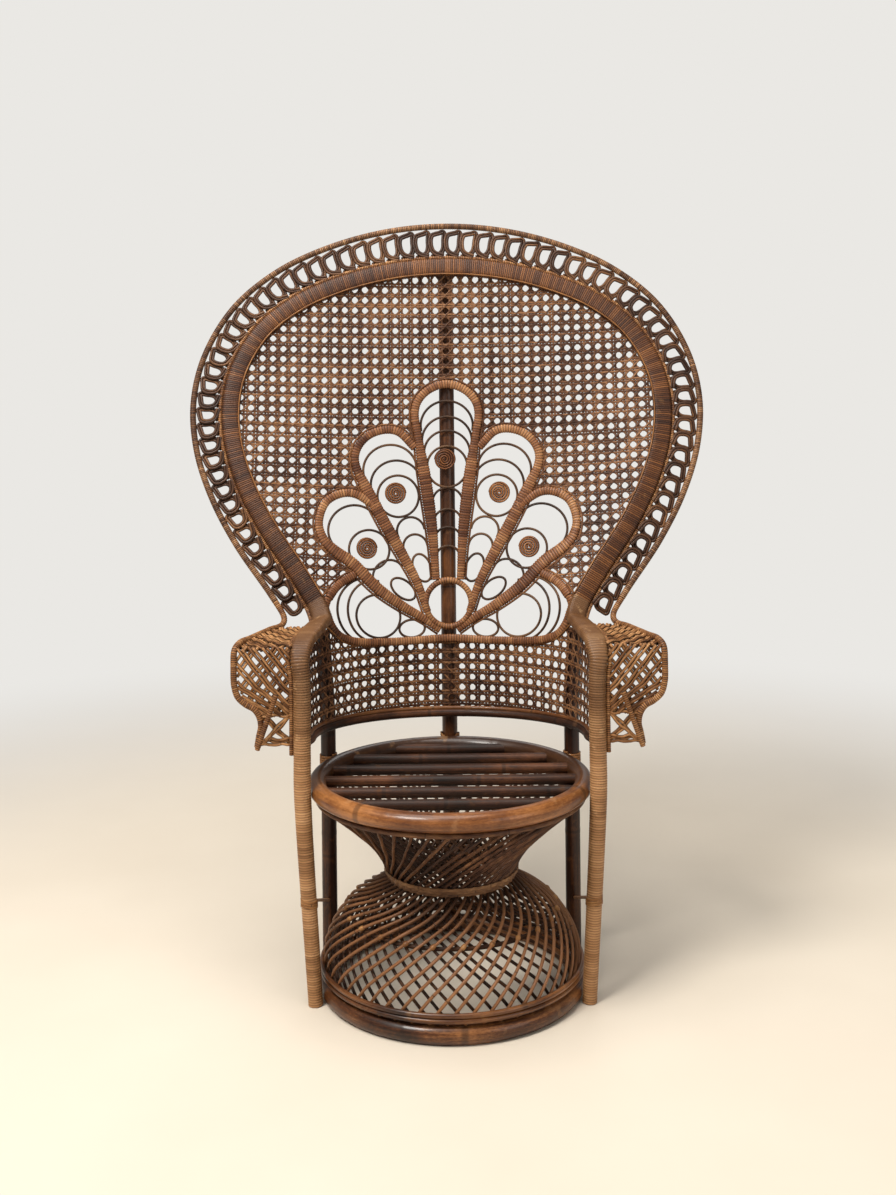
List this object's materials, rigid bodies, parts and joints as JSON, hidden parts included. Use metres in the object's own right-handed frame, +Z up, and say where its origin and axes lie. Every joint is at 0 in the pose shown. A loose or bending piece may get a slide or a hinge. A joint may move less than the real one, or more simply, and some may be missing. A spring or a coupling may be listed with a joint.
{
  "type": "peacock chair",
  "caption": "Wicker armchair with a round fan-shaped back, an openwork feather motif, low wrapped arms and an hourglass base of slanting reeds.",
  "frame": {"origin": "on the floor, under the middle of the chair's outer box", "axes": "+X to the right as seen from the front, +Y from the seat towards the back, +Z up"},
  "size_m": [1.0706, 0.6524, 1.4831],
  "materials": {
    "glossy_rattan": "varnished rattan pole, mid brown, glossy",
    "dark_rattan": "varnished rattan pole, dark brown, glossy",
    "wrapped_cane": "pole wrapped in narrow cane, golden brown, satin",
    "woven_cane": "open cane weave, brown, satin",
    "brown_reed": "round reed, brown, satin"
  },
  "bodies": {
    "root": {"floor_ring": "glossy_rattan", "seat_ring": "glossy_rattan", "seat_inner_ring": "dark_rattan", "seat_pole_1": "dark_rattan", "seat_pole_2": "dark_rattan", "seat_pole_3": "dark_rattan", "seat_pole_4": "dark_rattan", "seat_pole_5": "dark_rattan", "seat_pole_6": "dark_rattan", "base_reeds": "brown_reed", "base_upper_lining": "brown_reed", "base_lower_lining": "brown_reed", "waist_binding": "wrapped_cane", "floor_hoop_lower": "glossy_rattan", "floor_hoop_upper": "glossy_rattan", "fan_hoop": "wrapped_cane", "front_post_right": "wrapped_cane", "front_post_left": "wrapped_cane", "trim_rod": "wrapped_cane", "outer_rim": "wrapped_cane", "loop_border": "brown_reed", "petal_centre": "wrapped_cane", "petal_middle_right": "wrapped_cane", "petal_middle_left": "wrapped_cane", "petal_lower_right": "wrapped_cane", "petal_lower_left": "wrapped_cane", "motif_rail": "wrapped_cane", "motif_base_ring": "wrapped_cane", "rosette_centre": "brown_reed", "rosette_middle_right": "brown_reed", "rosette_middle_left": "brown_reed", "rosette_lower_right": "brown_reed", "rosette_lower_left": "brown_reed", "fan_caning": "woven_cane", "wall_caning": "woven_cane", "wall_rim": "dark_rattan", "wall_rod": "glossy_rattan", "rear_post_right": "glossy_rattan", "rear_post_left": "glossy_rattan", "rear_post_centre": "glossy_rattan", "seat_binding_right": "wrapped_cane", "seat_binding_left": "wrapped_cane", "seat_binding_centre": "wrapped_cane", "leg_tie_right": "wrapped_cane", "leg_tie_left": "wrapped_cane", "arm_rim_right": "wrapped_cane", "arm_rim_left": "wrapped_cane", "arm_top_lattice_right": "woven_cane", "arm_top_lattice_left": "woven_cane", "arm_front_lattice_right": "woven_cane", "arm_front_lattice_left": "woven_cane", "arm_strut_right": "wrapped_cane", "arm_strut_left": "wrapped_cane"}
  },
  "joints": []
}
